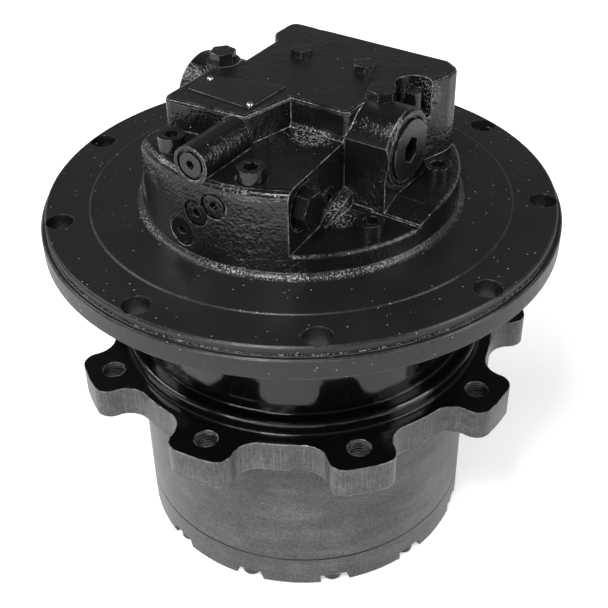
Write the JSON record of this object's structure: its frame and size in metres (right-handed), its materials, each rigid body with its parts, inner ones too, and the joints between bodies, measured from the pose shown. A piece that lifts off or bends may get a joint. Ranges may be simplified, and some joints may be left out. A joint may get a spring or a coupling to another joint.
{
  "type": "hydraulic drive motor",
  "caption": "Travel drive: piston motor and brake in a flanged housing with valve block, planetary gears in a turning hub with a lobed sprocket flange.",
  "frame": {"origin": "centre of the mounting face on the valve block side of the frame flange, on the axis of rotation", "axes": "+Z along the axis of rotation towards the valve block; +X along the counterbalance valve bore, towards its end on the relief valve side; +Y towards the hose port face"},
  "size_m": [0.32, 0.32, 0.3184],
  "materials": {
    "black_cast_paint": "glossy black paint over rough cast iron",
    "black_flange_paint": "satin black paint over turned iron",
    "black_hub_paint": "glossy black paint over turned iron",
    "black_fastener": "glossy black paint over steel fasteners",
    "grey_plug": "dark grey satin plug faces",
    "bearing_steel": "ground bearing steel",
    "machined_steel": "turned and ground steel",
    "gear_steel": "case-hardened gear steel",
    "cast_steel": "machined cast iron",
    "spring_steel": "dark spring steel",
    "bronze": "bearing bronze",
    "friction_lining": "sintered friction lining on steel",
    "seal_rubber": "black oil seal rubber"
  },
  "bodies": {
    "housing": {"motor_housing": "black_flange_paint", "valve_block": "black_cast_paint", "valve_block_screws": "black_fastener", "spool_end_plugs": "grey_plug", "speed_valve_plug": "grey_plug", "hex_port_plug": "black_fastener", "socket_plugs": "black_fastener", "hex_head_plugs": "black_fastener", "relief_valve": "black_fastener", "valve_plate": "machined_steel", "swash_plate": "cast_steel", "swash_pivot_balls": "bearing_steel", "rear_shaft_bearing": "bearing_steel", "front_bearing_outer_ring": "bearing_steel", "shaft_seal": "seal_rubber", "separator_plates": "machined_steel", "main_bearing_inner_rings": "bearing_steel", "bearing_nut": "machined_steel", "fixed_seal_ring": "cast_steel", "second_stage_pins": "machined_steel", "block_sealing_ring": "seal_rubber", "brake_disc_spring": "spring_steel", "left_spool_spring": "spring_steel", "right_spool_spring": "spring_steel", "speed_spool_spring": "spring_steel"},
    "brake_piston": {"brake_piston": "machined_steel"},
    "counterbalance_spool": {"counterbalance_spool": "machined_steel"},
    "speed_spool": {"speed_spool": "machined_steel"},
    "shaft": {"drive_shaft": "machined_steel", "cylinder_block": "cast_steel", "cylinder_block_spring": "spring_steel", "retainer_guide": "machined_steel", "friction_plates": "friction_lining", "front_bearing_inner_ring": "bearing_steel", "front_bearing_balls": "bearing_steel", "first_sun_gear": "gear_steel"},
    "shoe_set": {"piston_shoes": "bronze", "retainer_plate": "machined_steel"},
    "hub": {"hub": "black_hub_paint", "main_bearing_outer_rings": "bearing_steel", "main_bearing_balls": "bearing_steel", "rotating_seal_ring": "cast_steel", "end_cover": "black_hub_paint", "end_cover_screws": "grey_plug", "end_cover_plugs": "grey_plug"},
    "carrier": {"planet_carrier": "gear_steel", "second_sun_gear": "gear_steel"},
    "piston_1": {"piston_1": "machined_steel"},
    "piston_2": {"piston_2": "machined_steel"},
    "piston_3": {"piston_3": "machined_steel"},
    "piston_4": {"piston_4": "machined_steel"},
    "piston_5": {"piston_5": "machined_steel"},
    "piston_6": {"piston_6": "machined_steel"},
    "piston_7": {"piston_7": "machined_steel"},
    "first_planet_1": {"first_planet_1": "gear_steel"},
    "first_planet_2": {"first_planet_2": "gear_steel"},
    "first_planet_3": {"first_planet_3": "gear_steel"},
    "second_planet_1": {"second_planet_1": "gear_steel"},
    "second_planet_2": {"second_planet_2": "gear_steel"},
    "second_planet_3": {"second_planet_3": "gear_steel"}
  },
  "joints": [
    {"name": "hub_spin", "type": "hinge", "parent": "housing", "child": "hub", "pos_m": [0, 0, 0], "axis": [0, 0, 1], "continuous": true},
    {"name": "carrier_spin", "type": "hinge", "parent": "housing", "child": "carrier", "pos_m": [0, 0, -0.163], "axis": [0, 0, 1], "continuous": true},
    {"name": "shaft_spin", "type": "hinge", "parent": "housing", "child": "shaft", "pos_m": [0, 0, -0.05], "axis": [0, 0, 1], "continuous": true},
    {"name": "shoe_set_spin", "type": "hinge", "parent": "housing", "child": "shoe_set", "pos_m": [0, 0, -0.066], "axis": [0, -0.2079, 0.9781], "continuous": true},
    {"name": "piston_1_swivel", "type": "hinge", "parent": "shoe_set", "child": "piston_1", "pos_m": [0.0364, 0, -0.066], "axis": [0, -0.2079, 0.9781], "continuous": true},
    {"name": "piston_2_swivel", "type": "hinge", "parent": "shoe_set", "child": "piston_2", "pos_m": [0.02269, 0.02783, -0.06008], "axis": [0, -0.2079, 0.9781], "continuous": true},
    {"name": "piston_3_swivel", "type": "hinge", "parent": "shoe_set", "child": "piston_3", "pos_m": [-0.0081, 0.03471, -0.05862], "axis": [0, -0.2079, 0.9781], "continuous": true},
    {"name": "piston_4_swivel", "type": "hinge", "parent": "shoe_set", "child": "piston_4", "pos_m": [-0.03279, 0.01545, -0.06272], "axis": [0, -0.2079, 0.9781], "continuous": true},
    {"name": "piston_5_swivel", "type": "hinge", "parent": "shoe_set", "child": "piston_5", "pos_m": [-0.03279, -0.01545, -0.06928], "axis": [0, -0.2079, 0.9781], "continuous": true},
    {"name": "piston_6_swivel", "type": "hinge", "parent": "shoe_set", "child": "piston_6", "pos_m": [-0.0081, -0.03471, -0.07338], "axis": [0, -0.2079, 0.9781], "continuous": true},
    {"name": "piston_7_swivel", "type": "hinge", "parent": "shoe_set", "child": "piston_7", "pos_m": [0.02269, -0.02783, -0.07192], "axis": [0, -0.2079, 0.9781], "continuous": true},
    {"name": "first_planet_1_spin", "type": "hinge", "parent": "carrier", "child": "first_planet_1", "pos_m": [0.0585, 0, -0.1845], "axis": [0, 0, 1], "continuous": true},
    {"name": "first_planet_2_spin", "type": "hinge", "parent": "carrier", "child": "first_planet_2", "pos_m": [-0.02925, 0.05066, -0.1845], "axis": [0, 0, 1], "continuous": true},
    {"name": "first_planet_3_spin", "type": "hinge", "parent": "carrier", "child": "first_planet_3", "pos_m": [-0.02925, -0.05066, -0.1845], "axis": [0, 0, 1], "continuous": true},
    {"name": "second_planet_1_spin", "type": "hinge", "parent": "housing", "child": "second_planet_1", "pos_m": [0.0585, 0, -0.133], "axis": [0, 0, 1], "continuous": true},
    {"name": "second_planet_2_spin", "type": "hinge", "parent": "housing", "child": "second_planet_2", "pos_m": [-0.02925, 0.05066, -0.133], "axis": [0, 0, 1], "continuous": true},
    {"name": "second_planet_3_spin", "type": "hinge", "parent": "housing", "child": "second_planet_3", "pos_m": [-0.02925, -0.05066, -0.133], "axis": [0, 0, 1], "continuous": true},
    {"name": "brake_release", "type": "slide", "parent": "housing", "child": "brake_piston", "axis": [0, 0, 1], "range_m": [0, 0.0015], "stiffness_N_per_m": 60000, "springref_m": -0.002, "deforming": ["brake_disc_spring"]},
    {"name": "counterbalance_shift", "type": "slide", "parent": "housing", "child": "counterbalance_spool", "axis": [1, 0, 0], "range_m": [-0.005, 0.005], "stiffness_N_per_m": 5000, "deforming": ["left_spool_spring", "right_spool_spring"]},
    {"name": "speed_shift", "type": "slide", "parent": "housing", "child": "speed_spool", "axis": [0, 1, 0], "range_m": [-0.004, 0], "stiffness_N_per_m": 2000, "springref_m": 0.004, "deforming": ["speed_spool_spring"]}
  ],
  "couplings": [
    {"joint": "carrier_spin", "follows": "hub_spin", "ratio": -4.2},
    {"joint": "shaft_spin", "follows": "hub_spin", "ratio": -26.04},
    {"joint": "shoe_set_spin", "follows": "hub_spin", "ratio": -26.04},
    {"joint": "piston_1_swivel", "follows": "hub_spin", "ratio": 26.04},
    {"joint": "piston_2_swivel", "follows": "hub_spin", "ratio": 26.04},
    {"joint": "piston_3_swivel", "follows": "hub_spin", "ratio": 26.04},
    {"joint": "piston_4_swivel", "follows": "hub_spin", "ratio": 26.04},
    {"joint": "piston_5_swivel", "follows": "hub_spin", "ratio": 26.04},
    {"joint": "piston_6_swivel", "follows": "hub_spin", "ratio": 26.04},
    {"joint": "piston_7_swivel", "follows": "hub_spin", "ratio": 26.04},
    {"joint": "first_planet_1_spin", "follows": "hub_spin", "ratio": 13.65},
    {"joint": "first_planet_2_spin", "follows": "hub_spin", "ratio": 13.65},
    {"joint": "first_planet_3_spin", "follows": "hub_spin", "ratio": 13.65},
    {"joint": "second_planet_1_spin", "follows": "hub_spin", "ratio": 2.625},
    {"joint": "second_planet_2_spin", "follows": "hub_spin", "ratio": 2.625},
    {"joint": "second_planet_3_spin", "follows": "hub_spin", "ratio": 2.625}
  ]
}
